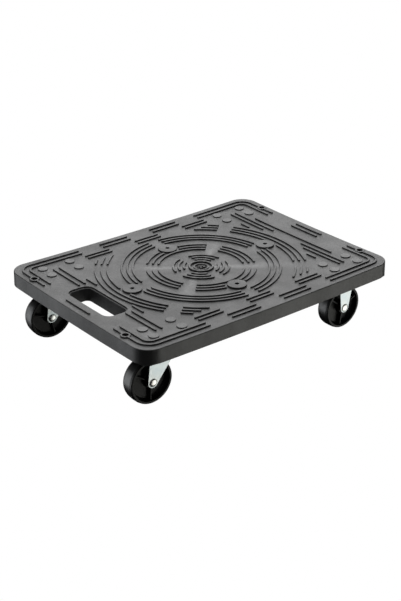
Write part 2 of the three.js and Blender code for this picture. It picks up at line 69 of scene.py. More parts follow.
DECK_LOW, DECK_HIGH = box_in_mm("deck")
LENGTH = DECK_HIGH.x - DECK_LOW.x
WIDTH = DECK_HIGH.y - DECK_LOW.y
SKIRT_BOTTOM = DECK_LOW.z
PATTERN_HEIGHT = 2                      # of the ribs, above the plain surface of the deck
DISC_HEIGHT = 2.6                       # of the four discs
TOP = DECK_HIGH.z - DISC_HEIGHT         # height of the plain surface
CORNER_RADIUS = 27
EDGE_RADIUS = 1.2
FOOT_ROUND = 0.5
SKIRT_WALL = 3.2
SKIN = 3.2
DRAFT = 0.5                             # how far the skirt leans in from its foot to its top
BOSS_BOTTOM = 82                        # foot of the stiffening ribs and of the screw bosses
SAG = 2.5                               # how far the middle of the moulding hangs below its two ends
SAG_ACROSS = 2                          # and below its two long sides
SAG_STRIP = 15                          # width of the strips that follow the sag

RIB_HALF = 1.65
RIB_SINK = 0.8                          # how far ribs and discs reach into the skin, so that they join
RIB_EDGE = 0.45

HAND_X, HAND_LENGTH, HAND_WIDTH, HAND_CORNER = -180.9, 35, 95.5, 10
HAND_WALL = 3
HAND_LEDGE = 2.2
HAND_LEDGE_DEPTH = 2.2
HAND_TAPER = 2.8                        # how far the hand hole narrows, all round, from mouth to foot

DISC_RADIUS = 14
DISC_HOLE = 3
DISC_PLACES = [(122.8, 0), (-122.8, 0), (0, 79.4), (0, -79.4)]
CORNER_HOLES = [(213 * x, 108.7 * y) for x, y in SIGN_PAIRS]
CORNER_HOLE_RADIUS = 4.2
CORNER_RING_RADIUS = 7.2
PAD_RADIUS = 7.2
PAD_HEIGHT = 1.3
HUB_RINGS = [(18.6, 15.2, 2.5), (11.6, 8.8, 1.2)]       # outer radius, inner radius and height
# Lumps of the torn sprue: place, radius, and height above the plain surface.
SPRUE_LUMPS = [(4.2, -1.6, 2.0, 0.8), (-0.8, 4.4, 1.6, 0.3), (5.0, 2.6, 1.4, 0.2), (-4.6, 1.0, 1.3, -0.1)]

SCREW_X, SCREW_Y = 23, 12               # screw places, from the caster's middle
PILOT_HOLE = 2.3
PLATE_HOLE = 2.7
PLATE_LENGTH, PLATE_WIDTH, PLATE_CORNER = 62, 40, 6
PLATE = 2
SHEET = 1.8
LEG_OUTER = 13.05
LEG_BEND = 3.2
TIP_RADIUS = 7.3
TRAIL = 24.4                            # how far a swivel wheel's axle lies behind its turning axis
LEAD = 1.1                              # how far a fixed wheel's axle lies ahead of its plate's middle
DIMPLE_RADIUS = 5.7
DIMPLE_DEPTH = 0.8
RIVET_RADIUS = 5.2
RIVET_DOME = 2.1
RIVET_RIM = 1.2
AXLE_RADIUS = 3
PIN_HOLE = 4.3
BALL_RINGS = {                          # count, ball radius and pitch radius
    "upper_balls": (10, 2.0, 12.4),
    "lower_balls": (8, 1.35, 7.1),
}
YOKE_TOP = 71
DISH_RADIUS = 19
DISH_RISE = 1.5

WHEEL_LOW, WHEEL_HIGH = box_in_mm("fixed_right_wheel")
WHEEL_RADIUS = (WHEEL_HIGH.z - WHEEL_LOW.z) / 2
WHEEL_HALF = (WHEEL_HIGH.y - WHEEL_LOW.y) / 2
AXLE_HEIGHT = (WHEEL_HIGH.z + WHEEL_LOW.z) / 2
WHEEL_BORE = 4.7
HUB_FACE = 9.8
WEB_HALF = 3
TREAD_DEPTH = 0.9                       # how far the smooth tread reaches in from the wheel's rim
BUSH_FACE = 9.95
# Degrees that each wheel has rolled from the place where one of its ribs points straight down.
WHEEL_ROLL = {"swivel_left": 12, "swivel_right": -2, "fixed_left": 0, "fixed_right": -7}
PLATE_UNDERSIDE = BOSS_BOTTOM - PLATE
CASTER_MIDDLE = 162, 119.5              # of a caster's plate, from the middle of the deck


# ---------------------------------------------------------------------------------------
# Outlines and solids
# ---------------------------------------------------------------------------------------

def filleted(corners, steps=4):
    """A closed outline of (x, y, radius) corners, each rounded to its radius."""
    points = []
    for index, (x, y, radius) in enumerate(corners):
        here = Vector((x, y))
        if radius == 0:
            points.append(here)
            continue
        back = (Vector(corners[index - 1][:2]) - here).normalized()
        ahead = (Vector(corners[(index + 1) % len(corners)][:2]) - here).normalized()
        half = back.angle(ahead) / 2
        centre = here + (back + ahead).normalized() * radius / math.sin(half)
        first = here + back * radius / math.tan(half) - centre
        last = here + ahead * radius / math.tan(half) - centre
        start = math.atan2(first.y, first.x)
        sweep = math.remainder(math.atan2(last.y, last.x) - start, math.tau)
        for step in range(steps + 1):
            turn = start + sweep * step / steps
            points.append(centre + radius * Vector((math.cos(turn), math.sin(turn))))
    return points


def rectangle(length, width, radius, x=0, y=0, steps=8):
    half_x, half_y = length / 2, width / 2
    return filleted([(x + half_x * sx, y + half_y * sy, radius) for sx, sy in SIGN_PAIRS], steps)


def circle(radius, x=0, y=0, segments=48):
    turns = [math.tau * step / segments for step in range(segments)]
    return [Vector((x + radius * math.cos(turn), y + radius * math.sin(turn))) for turn in turns]


def bridge(bm, lower, upper):
    count = len(lower)
    for index in range(count):
        after = (index + 1) % count
        bm.faces.new((lower[index], lower[after], upper[after], upper[index]))


def lofted(bm, levels):
    """A closed solid through (outline, height) levels whose outlines have equal point counts."""
    rings = [[bm.verts.new((*point, height)) for point in outline] for outline, height in levels]
    for lower, upper in zip(rings, rings[1:]):
        bridge(bm, lower, upper)
    bm.faces.new(rings[0][::-1])
    bm.faces.new(rings[-1])
    return [vertex for ring in rings for vertex in ring]


def turned(bm, profile, segments=48, x=0, y=0):
    """A closed solid turned about Z. The (radius, height) profile either starts and ends on the
    axis or is a closed ring."""
    rings = []
    for radius, height in profile:
        if radius < 1e-6:
            rings.append([bm.verts.new((x, y, height))])
        else:
            rings.append([bm.verts.new((*point, height)) for point in circle(radius, x, y, segments)])
    pairs = list(zip(rings, rings[1:]))
    if len(rings[0]) > 1:
        pairs.append((rings[-1], rings[0]))
    for lower, upper in pairs:
        if len(lower) > 1 and len(upper) > 1:
            bridge(bm, lower, upper)
            continue
        tip, ring = (lower[0], upper) if len(lower) == 1 else (upper[0], lower)
        for index in range(segments):
            bm.faces.new((tip, ring[index], ring[(index + 1) % segments]))
    return [vertex for ring in rings for vertex in ring]


def cylinder(radius, low, high, top_radius=None):
    """Profile of a plain cylinder, or of a cone when its top has another radius."""
    return [(0, low), (radius, low), (top_radius or radius, high), (0, high)]


def mirrored(half):
    """A half profile below its middle plane, and its mirror image above it."""
    return half + [(radius, -height) for radius, height in reversed(half)]


def block(bm, low, high, taper=0):
    """A box from low to high whose sides lean in by taper towards its lower end."""
    centre_x, centre_y = (low[0] + high[0]) / 2, (low[1] + high[1]) / 2
    half_x, half_y = (high[0] - low[0]) / 2, (high[1] - low[1]) / 2
    levels = []
    for inset, height in ((taper, low[2]), (0, high[2])):
        outline = [Vector((centre_x + (half_x - inset) * x, centre_y + (half_y - inset) * y))
                   for x, y in SIGN_PAIRS]
        levels.append((outline, height))
    return lofted(bm, levels)


def solid(build):
    """An object from a function that fills a bmesh with closed shells, in millimetres."""
    bm = bmesh.new()
    build(bm)
    bmesh.ops.recalc_face_normals(bm, faces=bm.faces)
    mesh = bpy.data.meshes.new("solid")
    bm.to_mesh(mesh)
    bm.free()
    made = bpy.data.objects.new("solid", mesh)
    bpy.context.scene.collection.objects.link(made)
    return made


def combined(base, operation, other):
    """base with other joined to it (UNION), cut from it (DIFFERENCE) or kept in common
    (INTERSECT)."""
    modifier = base.modifiers.new("combine", "BOOLEAN")
    modifier.operation = operation
    modifier.solver = "MANIFOLD"
    modifier.object = other
    bpy.context.view_layer.update()
    graph = bpy.context.evaluated_depsgraph_get()
    result = bpy.data.meshes.new_from_object(base.evaluated_get(graph))
    base.modifiers.clear()
    base.data = result
    bpy.data.objects.remove(other)
    return base


def piece(name, made, material, body, nodes, place=None, sharp=35):
    """Finishes an object as a named piece that stands for CAD nodes and rides on a body."""
    made.name = name
    mesh = made.data
    mesh.name = name
    if place is not None:
        mesh.transform(place)
    mesh.transform(Matrix.Scale(MM, 4))
    mesh.materials.clear()
    mesh.materials.append(material)
    mesh.polygons.foreach_set("use_smooth", [True] * len(mesh.polygons))
    mesh.set_sharp_from_angle(angle=math.radians(sharp))
    weighted = made.modifiers.new("even shading on flat faces", "WEIGHTED_NORMAL")
    weighted.keep_sharp = True
    weighted.weight = 60
    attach(made, body)
    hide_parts(*nodes)
    return made


# ---------------------------------------------------------------------------------------
# Materials
# ---------------------------------------------------------------------------------------

class NodeTree:
    """A short way to write a material's nodes."""

    def __init__(self, name):
        self.material = bpy.data.materials.new(name)
        self.material.use_nodes = True
        self.nodes = self.material.node_tree.nodes
        self.links = self.material.node_tree.links
        self.shader = self.nodes["Principled BSDF"]
        self.place = self.nodes.new("ShaderNodeTexCoord").outputs["Object"]

    def link(self, output, target):
        self.links.new(output, target)

    def noise(self, scale, detail=2.0, roughness=0.5, vector=None):
        node = self.nodes.new("ShaderNodeTexNoise")
        node.inputs["Scale"].default_value = scale
        node.inputs["Detail"].default_value = detail
        node.inputs["Roughness"].default_value = roughness
        self.link(vector or self.place, node.inputs["Vector"])
        return node.outputs["Fac"]

    def stretched(self, x, y, z):
        node = self.nodes.new("ShaderNodeMapping")
        node.inputs["Scale"].default_value = (x, y, z)
        self.link(self.place, node.inputs["Vector"])
        return node.outputs["Vector"]

    def spread(self, value, low, high, to_low, to_high):
        node = self.nodes.new("ShaderNodeMapRange")
        limits = {"From Min": low, "From Max": high, "To Min": to_low, "To Max": to_high}
        for socket, number in limits.items():
            node.inputs[socket].default_value = number
        self.link(value, node.inputs["Value"])
        return node.outputs["Result"]

    def math(self, operation, first, second):
        node = self.nodes.new("ShaderNodeMath")
        node.operation = operation
        for socket, value in zip(node.inputs, (first, second)):
            if isinstance(value, (int, float)):
                socket.default_value = value
            else:
                self.link(value, socket)
        return node.outputs["Value"]

    def blend(self, factor, first, second):
        node = self.nodes.new("ShaderNodeMix")
        node.data_type = "RGBA"
        self.link(factor, node.inputs["Factor"])
        for socket, value in (("A", first), ("B", second)):
            target = [i for i in node.inputs if i.name == socket and i.type == "RGBA"][0]
            if isinstance(value, tuple):
                target.default_value = (*value, 1)
            else:
                self.link(value, target)
        return [o for o in node.outputs if o.type == "RGBA"][0]

    def bump(self, height, distance, strength, below=None):
        node = self.nodes.new("ShaderNodeBump")
        node.inputs["Distance"].default_value = distance
        node.inputs["Strength"].default_value = strength
        self.link(height, node.inputs["Height"])
        if below is not None:
            self.link(below, node.inputs["Normal"])
        return node.outputs["Normal"]


FLOW_SHADES = (0.010, 0.028, 0.075)     # of the dark clouds, of the plain plastic and of its flow marks
GAP_ANGLE = math.radians(36)            # between the length of the deck and the gaps in the rings
GAP_SPREAD = 0.13                       # half the width of a gap, as a share of the reach


def deck_plastic(name, shade, polish, specular):
    """Black polypropylene: a fine moulded grain, cloudy gloss, and paler flow marks that run
    outwards from the sprue, strongest through the gaps between the rings of ribs. shade lifts its
    colour and polish lowers its roughness."""
    tree = NodeTree(name)
    split = tree.nodes.new("ShaderNodeSeparateXYZ")
    tree.link(tree.place, split.inputs["Vector"])
    x, y = split.outputs["X"], split.outputs["Y"]
    squares = tree.math("ADD", tree.math("MULTIPLY", x, x), tree.math("MULTIPLY", y, y))
    reach = tree.math("POWER", squares, 0.5)
    polar = tree.nodes.new("ShaderNodeCombineXYZ")
    sine = tree.math("DIVIDE", y, reach)
    tree.link(tree.math("DIVIDE", x, reach), polar.inputs["X"])
    tree.link(sine, polar.inputs["Y"])
    tree.link(tree.math("MULTIPLY", reach, 5.0), polar.inputs["Z"])
    streaks = tree.spread(tree.noise(3.2, 5.0, 0.62, polar.outputs["Vector"]), 0.40, 0.66, 0, 1)
    past_gap = tree.math("SUBTRACT", tree.math("ABSOLUTE", sine, 0), math.sin(GAP_ANGLE))
    through_gap = tree.spread(tree.math("ABSOLUTE", past_gap, 0), 0, GAP_SPREAD, 1, 0)
    fading = tree.spread(reach, 0.05, 0.15, 1, 0)
    clouds = tree.spread(tree.noise(24, 4.0, 0.6), 0.3, 0.7, 0, 1)
    wisps = tree.spread(tree.noise(75, 4.0, 0.65), 0.35, 0.65, 0, 1)
    mottle = tree.spread(tree.noise(520, 3.0, 0.65), 0.3, 0.7, 0, 1)
    dark, mid, pale = (tuple(level + shade for level in (grey, grey, grey * 1.01)) for grey in FLOW_SHADES)
    cloudy = tree.blend(tree.math("MULTIPLY", tree.math("ADD", clouds, mottle), 0.5), dark, mid)
    flow = tree.math("MULTIPLY", tree.math("MULTIPLY", through_gap, fading), tree.math("ADD", wisps, 0.3))
    marks = tree.math("ADD", tree.math("MULTIPLY", streaks, 0.4), tree.math("MULTIPLY", flow, 1.0))
    tree.link(tree.blend(marks, cloudy, pale), tree.shader.inputs["Base Color"])
    gloss = tree.math("ADD", tree.math("MULTIPLY", mottle, 0.16), tree.math("MULTIPLY", marks, -0.12))
    tree.link(tree.math("ADD", gloss, 0.39 - polish), tree.shader.inputs["Roughness"])
    grain = tree.bump(tree.noise(900, 3.0, 0.6), 0.00016, 0.8)
    tree.link(tree.bump(wisps, 0.0003, 0.3, grain), tree.shader.inputs["Normal"])
    tree.shader.inputs["Specular IOR Level"].default_value = specular
    return tree.material


def wheel_plastic(name, roughness, specular):
    """Hard black plastic, faintly cloudy and scuffed."""
    tree = NodeTree(name)
    clouds = tree.noise(70, 4.0, 0.6)
    tree.link(tree.blend(clouds, (0.003,) * 3, (0.006,) * 3), tree.shader.inputs["Base Color"])
    scuffs = tree.spread(tree.noise(300, 4.0, 0.6), 0.3, 0.7, roughness, roughness + 0.08)
    tree.link(scuffs, tree.shader.inputs["Roughness"])
    tree.link(tree.bump(tree.noise(900, 2.0), 0.00003, 0.3), tree.shader.inputs["Normal"])
    tree.shader.inputs["Specular IOR Level"].default_value = specular
    return tree.material


def plated_steel(name, cool, warm, low_rough, high_rough, grain_scale=700):
    """Bright plated steel: the plating's tint drifts slightly, and its gloss is finely uneven."""
    tree = NodeTree(name)
    drift = tree.spread(tree.noise(55, 3.0, 0.55), 0.35, 0.65, 0, 1)
    tree.link(tree.blend(drift, cool, warm), tree.shader.inputs["Base Color"])
    rolled = tree.noise(grain_scale, 3.0, 0.6, tree.stretched(1, 1, 0.25))
    tree.link(tree.spread(rolled, 0.3, 0.7, low_rough, high_rough), tree.shader.inputs["Roughness"])
    tree.link(tree.bump(rolled, 0.00002, 0.4), tree.shader.inputs["Normal"])
    tree.shader.inputs["Metallic"].default_value = 1
    return tree.material


DECK_PLASTIC = deck_plastic("moulded_black_polypropylene", 0, 0, 0.42)
# Pad tops: a smoother finish, and a colour lifted by 0.008 as painted sheen.
PAD_SHEEN_PLASTIC = deck_plastic("smooth_sheen_black_polypropylene", 0.008, 0.08, 0.42)
# Hand hole walls: a darker, duller plastic, painted shade in the recess.
MATT_SHADE_PLASTIC = deck_plastic("matt_painted_shade_polypropylene", -0.004, -0.2, 0.3)
WHEEL_PLASTIC = wheel_plastic("moulded_black_wheel_plastic", 0.36, 0.14)
TREAD_PLASTIC = wheel_plastic("smooth_black_tread_plastic", 0.34, 0.75)
ZINC = plated_steel("bright_zinc_sheet", (0.38, 0.43, 0.45), (0.45, 0.47, 0.465), 0.28, 0.40)
RIVET = plated_steel("bright_rivet_steel", (0.52, 0.54, 0.53), (0.60, 0.59, 0.56), 0.20, 0.32)
SCREW = plated_steel("zinc_screw_steel", (0.66, 0.69, 0.68), (0.74, 0.72, 0.66), 0.28, 0.4)
BEARING = plated_steel("polished_bearing_steel", (0.62, 0.63, 0.64), (0.68, 0.68, 0.67), 0.08, 0.16)


# ---------------------------------------------------------------------------------------
# Anti-slip pattern
# ---------------------------------------------------------------------------------------

def straight(start, end):
    """The middle line of a straight rib, from its one tip to its other."""
    start, end = Vector(start), Vector(end)
    along = (end - start).normalized() * RIB_HALF
    return [start + along, end - along]


def arc(radius, from_degrees, to_degrees):
    """The middle line of a rib on a circle round the middle of the deck."""
    tip = RIB_HALF / radius
    start = math.radians(from_degrees) + tip
    sweep = math.radians(to_degrees) - tip - start
    steps = max(3, math.ceil(math.degrees(sweep) / 3))
    turns = [start + sweep * step / steps for step in range(steps + 1)]
    return [radius * Vector((math.cos(turn), math.sin(turn))) for turn in turns]


def bent(line_x, line_y, corner, from_x, from_y, sign_x, sign_y):
    """The middle line of a rib that follows the border round one corner of the deck."""
    start = [Vector((from_x + RIB_HALF, line_y))]
    steps = 10
    for step in range(steps + 1):
        turn = math.pi / 2 * (1 - step / steps)
        centre = Vector((line_x - corner, line_y - corner))
        start.append(centre + corner * Vector((math.cos(turn), math.sin(turn))))
    start.append(Vector((line_x, from_y + RIB_HALF)))
    return [Vector((point.x * sign_x, point.y * sign_y)) for point in start]


def rib_outline(path, half):
    """The outline half away from an open path, with round tips, and how many points a side has."""
    last = len(path) - 1
    ahead = [(path[min(i + 1, last)] - path[max(i - 1, 0)]).normalized() for i in range(last + 1)]
    across = [Vector((-d.y, d.x)) * half for d in ahead]
    tip_steps = 6

    def tip(centre, from_side):
        start = math.atan2(from_side.y, from_side.x)
        turns = [start - math.pi * step / tip_steps for step in range(1, tip_steps)]
        return [centre + half * Vector((math.cos(turn), math.sin(turn))) for turn in turns]

    left = [point + side for point, side in zip(path, across)]
    right = [point - side for point, side in zip(path, across)]
    return left + tip(path[last], across[last]) + right[::-1] + tip(path[0], -across[0])


def raised_rib(bm, path):
    levels = [(RIB_HALF, TOP - RIB_SINK), (RIB_HALF - 0.1, TOP + PATTERN_HEIGHT - RIB_EDGE)]
    steps = 4
    for step in range(1, steps + 1):
        turn = math.pi / 2 * step / steps
        half = RIB_HALF - 0.1 - RIB_EDGE * (1 - math.cos(turn))
        levels.append((half, TOP + PATTERN_HEIGHT - RIB_EDGE * (1 - math.sin(turn))))
    rings = [[bm.verts.new((*point, height)) for point in rib_outline(path, half)] for half, height in levels]
    for lower, upper in zip(rings, rings[1:]):
        bridge(bm, lower, upper)
    for ring in (rings[0], rings[-1]):
        count = len(path)
        right = len(ring) - (len(ring) - 2 * count) // 2 - 1
        for index in range(count - 1):
            bm.faces.new((ring[index], ring[index + 1], ring[right - index - 1], ring[right - index]))
        bm.faces.new(ring[count - 1:right - count + 2])
        bm.faces.new(ring[right:] + ring[:1])


def border_paths():
    start_x, start_y = 108.7, 82.6
    paths = []
    for sign_x, sign_y in SIGN_PAIRS:
        for line_x, line_y, corner in ((213, 153.2, 20), (203, 143.4, 11)):
            paths.append(bent(line_x, line_y, corner, start_x, start_y, sign_x, sign_y))
            paths.append(straight((20.7 * sign_x, line_y * sign_y), (71.7 * sign_x, line_y * sign_y)))
    return paths


def second_row_paths():
    spans = [(-112, -68.5), (-21.7, 21.7), (68.5, 112)]
    rows = [132, 123.9, -132, -123.9]
    return [straight((start, y), (end, y)) for start, end in spans for y in rows]


def end_paths():
    """Ribs across the deck near its two ends: (x, nearest y, farthest y) on both sides, and
    (x, reach) across the middle."""
    pairs = [(159.4, 44.6, 121.7), (167.8, 30.4, 121.7), (147.8, 64.1, 83.7),
             (-173.3, 54.4, 121.7), (-163.5, 54.4, 121.7), (-153.3, 41.3, 67.4)]
    across = [(178.3, 84.8), (203, 28.3), (213, 28.3), (-212.8, 28.3)]
    paths = [straight((x, near * sign), (x, far * sign)) for x, near, far in pairs for sign in (1, -1)]
    return paths + [straight((x, -reach), (x, reach)) for x, reach in across]


def angle_of(half_width, radius):
    return math.degrees(math.asin(half_width / radius))


def disc_angle(radius, disc_place):
    """Angle on either side of a disc's direction within which an arc would meet the disc."""
    reach = DISC_RADIUS + 2.6
    cosine = (radius ** 2 + disc_place ** 2 - reach ** 2) / (2 * radius * disc_place)
    return math.degrees(math.acos(cosine)) if cosine < 1 else 0


def split_arcs(radius, middle, half_arc, clear):
    if clear == 0:
        return [arc(radius, middle - half_arc, middle + half_arc)]
    return [arc(radius, middle - half_arc, middle - clear), arc(radius, middle + clear, middle + half_arc)]


def ring_paths():
    """Concentric arcs round the middle of the deck, in four groups of three."""
    paths = []
    disc_x, disc_y = DISC_PLACES[0][0], DISC_PLACES[2][1]
    for radius in (25.2, 32.8, 40.4):
        trim = angle_of(7.6, radius)
        paths += [arc(radius, start + trim, start + 90 - trim) for start in (0, 90, 180, 270)]
    for radius in (62.2, 70.6, 78.7):
        paths += [arc(radius, middle - 27.5, middle + 27.5) for middle in (0, 180)]
        for middle in (90, 270):
            paths += split_arcs(radius, middle, 45, disc_angle(radius, disc_y))
    for radius in (98.7, 106.5, 114.6):
        trim_x = max(angle_of(10.8, radius), disc_angle(radius, disc_x))
        trim_y = angle_of(8.7, radius)
        for start in (0, 180):
            paths.append(arc(radius, start + trim_x, start + 90 - trim_y))
            paths.append(arc(radius, start + 90 + trim_y, start + 180 - trim_x))
    for radius in (135.4, 143.9, 152.6):
        for middle in (0, 180):
            paths += split_arcs(radius, middle, 32, disc_angle(radius, disc_x))
        stub_end = angle_of(112, radius)
        for start, end in ((40.5, stub_end), (180 - stub_end, 139.5)):
            paths += [arc(radius, start, end), arc(radius, start + 180, end + 180)]
    return paths


# ---------------------------------------------------------------------------------------
# Deck
# ---------------------------------------------------------------------------------------

def all_screws():
    """Where the screws stand, worked out from the plates of the casters."""
    places = []
    plates = [f"swivel_{side}_top_plate" for side in SIDES] + [f"fixed_{side}_bracket" for side in SIDES]
    for node in plates:
        low, high = box_in_mm(node)
        centre = (low + high) / 2
        places += [(centre.x + SCREW_X * x, centre.y + SCREW_Y * y) for x, y in SIGN_PAIRS]
    return places


def round_boss(radius, low, high, edge, steps=4):
    """Profile of a round boss with a rounded upper edge."""
    profile = [(0, low), (radius, low)]
    for step in range(steps + 1):
        turn = math.pi / 2 * step / steps
        profile.append((radius - edge * (1 - math.cos(turn)), high - edge * (1 - math.sin(turn))))
    return profile + [(0, high)]


def deck_shell(bm):
    def outline(inset):
        return rectangle(LENGTH - 2 * inset, WIDTH - 2 * inset, CORNER_RADIUS - inset, steps=16)

    ceiling = TOP - SKIN
    levels = [(outline(SKIRT_WALL + 1.2), ceiling)]
    levels.append((outline(SKIRT_WALL + 0.4), ceiling - 1.2))
    levels.append((outline(SKIRT_WALL - 0.2), SKIRT_BOTTOM + FOOT_ROUND))
    levels.append((outline(SKIRT_WALL - 0.2 - FOOT_ROUND), SKIRT_BOTTOM))
    levels.append((outline(FOOT_ROUND), SKIRT_BOTTOM))
    levels.append((outline(0), SKIRT_BOTTOM + FOOT_ROUND))
    steps = 7
    for step in range(steps + 1):
        turn = math.pi / 2 * step / steps
        inset = DRAFT + EDGE_RADIUS * (1 - math.cos(turn))
        levels.append((outline(inset), TOP - EDGE_RADIUS * (1 - math.sin(turn))))
    lofted(bm, levels)


def stiffening(bm, along_x):
    """Thin ribs under the skin, all along one axis."""
    half = 1.1
    reach_x, reach_y = LENGTH / 2 - SKIRT_WALL / 2 - 0.6, WIDTH / 2 - SKIRT_WALL / 2 - 0.6
    main = (0, 54, 107.5, 131.5) if along_x else (0, 69.5, 139, 185)
    extra = (27, 80.5) if along_x else (34.5, 104)
    high = TOP - SKIN / 2
    for index, place in enumerate(main + extra):
        foot = BOSS_BOTTOM if index < len(main) else BOSS_BOTTOM + 5
        for sign in ((1, -1) if place else (1,)):
            middle = place * sign
            if along_x:
                block(bm, (-reach_x, middle - half, foot), (reach_x, middle + half, high), 0.2)
            else:
                block(bm, (middle - half, -reach_y, foot), (middle + half, reach_y, high), 0.2)


def under_bosses(bm):
    high = TOP - SKIN / 2
    for x, y in all_screws():
        turned(bm, cylinder(5.2, BOSS_BOTTOM, high, 5.6), 32, x, y)
    for x, y in DISC_PLACES:
        turned(bm, cylinder(5.4, BOSS_BOTTOM, high, 5.8), 32, x, y)
    for x, y in CORNER_HOLES:
        turned(bm, cylinder(7, SKIRT_BOTTOM + 0.6, high, 7.2), 32, x, y)
    turned(bm, cylinder(18, BOSS_BOTTOM, high, 18.4), 64)
    grow = 2 * HAND_WALL
    outline = rectangle(HAND_LENGTH + grow, HAND_WIDTH + grow, HAND_CORNER + HAND_WALL, HAND_X)
    lofted(bm, [(outline, SKIRT_BOTTOM + 0.3), (outline, high)])


def upper_bosses(bm):
    """The discs, rings and pads on the deck."""
    low = TOP - RIB_SINK
    for x, y in DISC_PLACES:
        turned(bm, round_boss(DISC_RADIUS, low, TOP + DISC_HEIGHT, 0.6), 64, x, y)
    for x, y in CORNER_HOLES:
        turned(bm, round_boss(CORNER_RING_RADIUS, low, TOP + PATTERN_HEIGHT, 0.9), 48, x, y)
    for x, y in all_screws():
        turned(bm, round_boss(PAD_RADIUS, low, TOP + PAD_HEIGHT, 0.5), 48, x, y)
    for outer, inner, height in HUB_RINGS:
        high = TOP + height
        ring = filleted([(inner, low, 0), (outer, low, 0), (outer, high, 0.8), (inner, high, 0.8)])
        turned(bm, [(point.x, point.y) for point in ring], 72)


def pattern(bm):
    for path in border_paths() + second_row_paths() + end_paths() + ring_paths():
        raised_rib(bm, path)


def deck_cuts(bm):
    """The hand hole, with a ledge round its mouth, and every round hole."""
    below, above = SKIRT_BOTTOM - 1, DECK_HIGH.z + 1
    ledge = TOP - HAND_LEDGE_DEPTH

    def mouth(grow):
        return rectangle(HAND_LENGTH + 2 * grow, HAND_WIDTH + 2 * grow, HAND_CORNER + grow, HAND_X, steps=12)

    lofted(bm, [
        (mouth(-HAND_TAPER), below),
        (mouth(0), ledge - 0.8),
        (mouth(0.25), ledge - 0.2),
        (mouth(0.8), ledge),
        (mouth(HAND_LEDGE - 0.2), ledge),
        (mouth(HAND_LEDGE), ledge + 0.2),
        (mouth(HAND_LEDGE), TOP - 0.5),
        (mouth(HAND_LEDGE + 0.15), TOP - 0.15),
        (mouth(HAND_LEDGE + 0.5), TOP),
        (mouth(HAND_LEDGE + 0.5), above),
    ])
    for places, radius, rim, high in (
        (DISC_PLACES, DISC_HOLE, 0.25, TOP + DISC_HEIGHT),
        (CORNER_HOLES, CORNER_HOLE_RADIUS, 0.4, TOP + PATTERN_HEIGHT),
    ):
        for x, y in places:
            turned(bm, [(0, below), (radius, below), (radius, high - rim), (radius + rim, high),
                        (radius + rim, above), (0, above)], 40, x, y)
    for x, y in all_screws():
        turned(bm, cylinder(PILOT_HOLE, below, BOSS_BOTTOM + 13), 20, x, y)
    hub_hole = 3
    turned(bm, [(0, below), (hub_hole, below), (hub_hole, TOP - 2.4), (5.6, TOP - 1.8), (8, TOP - 0.6),
                (8.8, TOP + 0.6), (8.8, above), (0, above)], 48)


def sprue(bm):
    """The torn stub that the moulding sprue leaves in the dish of the hub."""
    for x, y, radius, high in SPRUE_LUMPS:
        turned(bm, round_boss(radius, TOP - 3, TOP + high, radius * 0.45), 20, x, y)


def sagged(made):
    """Dishes the moulding along its length and, less, across it. It stays level with the CAD over
    the casters, and the bosses that stand on the casters' plates keep their height."""
    caster_x, caster_y = CASTER_MIDDLE
    reach_x, reach_y = LENGTH / 2, WIDTH / 2
    bm = bmesh.new()
    bm.from_mesh(made.data)
    for reach, normal in ((reach_x, (1, 0, 0)), (reach_y, (0, 1, 0))):
        cut = -reach + SAG_STRIP
        while cut < reach:
            everything = bm.verts[:] + bm.edges[:] + bm.faces[:]
            plane = cut * Vector(normal)
            bmesh.ops.bisect_plane(bm, geom=everything, dist=1e-4, plane_co=plane, plane_no=normal)
            cut += SAG_STRIP
    skirt_x, skirt_y = reach_x - SKIRT_WALL - 1, reach_y - SKIRT_WALL - 1
    still, free = BOSS_BOTTOM + 4, TOP - SKIN
    for vertex in bm.verts:
        x, y, z = vertex.co
        in_skirt = abs(x) > skirt_x or abs(y) > skirt_y
        share = 1 if in_skirt else min(max((z - still) / (free - still), 0), 1)
        along = SAG * (x ** 2 - caster_x ** 2) / reach_x ** 2
        across = SAG_ACROSS * (y ** 2 - caster_y ** 2) / reach_y ** 2
        vertex.co.z += share * (along + across)
    bm.to_mesh(made.data)
    bm.free()
    return made


def finish_faces(made):
    """The tops of the pads come off a polished part of the mould and get a slightly paler colour, painted
    sheen. The inside walls of the hand hole get a darker, duller plastic: painted shade in the recess."""
    for material in (PAD_SHEEN_PLASTIC, MATT_SHADE_PLASTIC):
        made.data.materials.append(material)
    centres = [Vector(place) for place in all_screws()]
    reach_x, reach_y = HAND_LENGTH / 2 + HAND_LEDGE + 0.5, HAND_WIDTH / 2 + HAND_LEDGE + 0.5
    for face in made.data.polygons:
        middle = face.center / MM
        near = min((middle.xy - centre).length for centre in centres)
        on_pad = near < PAD_RADIUS - 0.3 and face.normal.z > 0.9 and middle.z > TOP
        # The inside walls of the hand hole take the darker plastic of painted shade.
        in_hole = abs(middle.x - HAND_X) < reach_x and abs(middle.y) < reach_y and abs(face.normal.z) < 0.5
        face.material_index = 1 if on_pad else 2 if in_hole else 0


def build_deck():
    made = solid(deck_shell)
    combined(made, "UNION", solid(lambda bm: stiffening(bm, True)))
    combined(made, "UNION", solid(lambda bm: stiffening(bm, False)))
    combined(made, "UNION", solid(under_bosses))
    combined(made, "UNION", solid(pattern))
    combined(made, "UNION", solid(upper_bosses))
    combined(made, "DIFFERENCE", solid(deck_cuts))
    combined(made, "UNION", solid(sprue))
    sagged(made)
    piece("deck_moulding", made, DECK_PLASTIC, "chassis", ["deck"])
    finish_faces(made)
    return made


# ---------------------------------------------------------------------------------------
# Casters, each built about its own centre line
# ---------------------------------------------------------------------------------------

LAY_ALONG_Y = Matrix.Rotation(math.radians(90), 4, "X")


